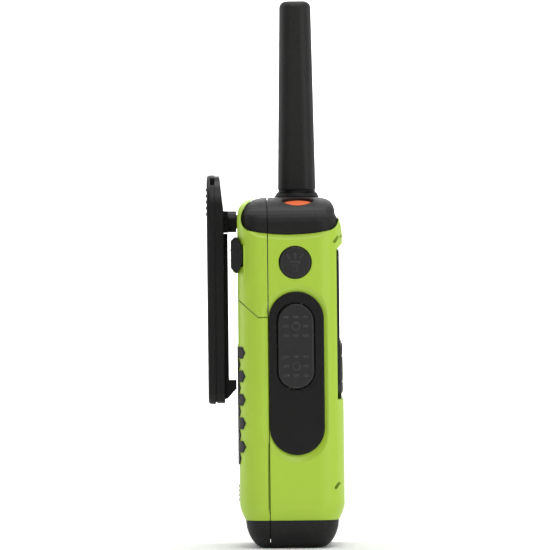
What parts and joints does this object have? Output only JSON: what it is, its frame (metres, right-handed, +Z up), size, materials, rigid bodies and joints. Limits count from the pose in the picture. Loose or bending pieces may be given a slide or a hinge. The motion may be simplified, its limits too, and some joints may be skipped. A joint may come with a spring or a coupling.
{
  "type": "two way radio",
  "caption": "Rugged hand-held two way radio with a fixed rubber aerial, side talk key, top alert key and a swivelling spring belt clip.",
  "frame": {"origin": "on the surface the radio stands on, in the middle of the casing", "axes": "+Z up through the aerial, -Y the front with the display and speaker, +Y the back with the clip, -X the side with the talk key"},
  "size_m": [0.0583, 0.047, 0.19],
  "materials": {
    "shell_plastic": "lime green moulded shell, fine satin grain",
    "cap_plastic": "black, coarse moulded grain",
    "boot_rubber": "black overmoulded rubber, matt",
    "aerial_rubber": "black rubber sleeve, pebbled grain",
    "key_rubber": "black key rubber, fine grain",
    "panel_plastic": "black panel, smooth satin",
    "face_plastic": "black face plate, glossy",
    "alert_plastic": "orange key, satin",
    "clip_plastic": "black glass filled plastic, fine grain",
    "clear_window": "clear window, polished",
    "lcd": "grey green display",
    "spring_steel": "plated spring wire and screws",
    "speaker_metal": "pressed steel",
    "speaker_paper": "black paper cone",
    "magnet": "plated magnet",
    "circuit_board": "green solder mask",
    "chip": "black moulded chips",
    "shield": "tinned shield cans",
    "gold_contact": "gilt contacts",
    "seal": "dark grey seal",
    "tub_plastic": "black moulded tub",
    "cell_can": "plain blue sleeve",
    "mirror_cup": "bright plated reflector"
  },
  "bodies": {
    "radio": {"antenna_coil": "spring_steel", "antenna_collar": "cap_plastic", "antenna_contact": "gold_contact", "antenna_sleeve": "aerial_rubber", "antenna_stud": "gold_contact", "battery_cells": "cell_can", "battery_contacts": "spring_steel", "battery_tub": "tub_plastic", "board_chips": "chip", "bottom_boot_front": "boot_rubber", "cover_pin": "spring_steel", "display_lens": "clear_window", "door_gasket": "seal", "face_plate": "face_plastic", "front_housing": "shell_plastic", "headset_jack": "chip", "housing_gasket": "seal", "housing_screws": "spring_steel", "keypad_board": "circuit_board", "keypad_domes": "gold_contact", "lanyard_bar": "clip_plastic", "lcd_module": "lcd", "main_board": "circuit_board", "microphone": "chip", "rear_housing": "shell_plastic", "shield_cans": "shield", "side_board": "circuit_board", "side_switches": "chip", "speaker_basket": "speaker_metal", "speaker_cone": "speaker_paper", "speaker_magnet": "magnet", "speaker_mesh": "speaker_metal", "talk_panel": "panel_plastic", "top_cap_front": "cap_plastic", "top_cap_rear": "cap_plastic", "top_switch": "chip", "torch_led": "mirror_cup", "torch_lens": "clear_window", "torch_reflector": "mirror_cup", "tub_screws": "spring_steel", "usb_socket": "shield"},
    "door": {"battery_door": "shell_plastic", "bottom_boot_rear": "boot_rubber", "grip_pads": "boot_rubber"},
    "latch": {"door_latch": "panel_plastic"},
    "talk": {"talk_key": "key_rubber"},
    "light": {"light_key": "key_rubber"},
    "alert": {"emergency_key": "alert_plastic"},
    "up": {"up_key": "key_rubber"},
    "down": {"down_key": "key_rubber"},
    "power": {"power_key": "key_rubber"},
    "menu": {"menu_key": "key_rubber"},
    "call": {"call_key": "key_rubber"},
    "cover": {"port_cover": "boot_rubber"},
    "swivel": {"clip_post": "clip_plastic", "clip_bracket": "clip_plastic", "clip_pin": "spring_steel", "clip_spring": "spring_steel"},
    "clip": {"clip_inner": "clip_plastic", "clip_outer": "clip_plastic"}
  },
  "joints": [
    {"name": "talk_rock", "type": "hinge", "parent": "radio", "child": "talk", "pos_m": [-0.0256, -0.0018, 0.0701], "axis": [0, 1, 0], "range_deg": [-2, 2], "stiffness_Nm_per_rad": 0.5},
    {"name": "light_push", "type": "slide", "parent": "radio", "child": "light", "axis": [1, 0, 0], "range_m": [0, 0.0008], "stiffness_N_per_m": 1500},
    {"name": "alert_push", "type": "slide", "parent": "radio", "child": "alert", "axis": [0.2164, 0, -0.9763], "range_m": [0, 0.0008], "stiffness_N_per_m": 1500},
    {"name": "up_push", "type": "slide", "parent": "radio", "child": "up", "axis": [0, 1, 0], "range_m": [0, 0.0006], "stiffness_N_per_m": 1500},
    {"name": "down_push", "type": "slide", "parent": "radio", "child": "down", "axis": [0, 1, 0], "range_m": [0, 0.0006], "stiffness_N_per_m": 1500},
    {"name": "power_push", "type": "slide", "parent": "radio", "child": "power", "axis": [0, 1, 0], "range_m": [0, 0.0006], "stiffness_N_per_m": 1500},
    {"name": "menu_push", "type": "slide", "parent": "radio", "child": "menu", "axis": [0, 1, 0], "range_m": [0, 0.0006], "stiffness_N_per_m": 1500},
    {"name": "call_push", "type": "slide", "parent": "radio", "child": "call", "axis": [0, 1, 0], "range_m": [0, 0.0006], "stiffness_N_per_m": 1500},
    {"name": "door_slide", "type": "slide", "parent": "radio", "child": "door", "axis": [0, 0, -1], "range_m": [0, 0.08]},
    {"name": "latch_slide", "type": "slide", "parent": "door", "child": "latch", "axis": [0, 0, 1], "range_m": [0, 0.0025]},
    {"name": "cover_fold", "type": "hinge", "parent": "radio", "child": "cover", "pos_m": [-0.0202, 0.01875, 0.0966], "axis": [-1, 0, 0], "range_deg": [0, 90]},
    {"name": "clip_swivel", "type": "hinge", "parent": "radio", "child": "swivel", "pos_m": [0, 0.0182, 0.1131], "axis": [0, 1, 0], "continuous": true},
    {"name": "clip_squeeze", "type": "hinge", "parent": "swivel", "child": "clip", "pos_m": [0, 0.02445, 0.1131], "axis": [1, 0, 0], "range_deg": [0, 15], "stiffness_Nm_per_rad": 0.4, "springref_deg": -17.19}
  ]
}
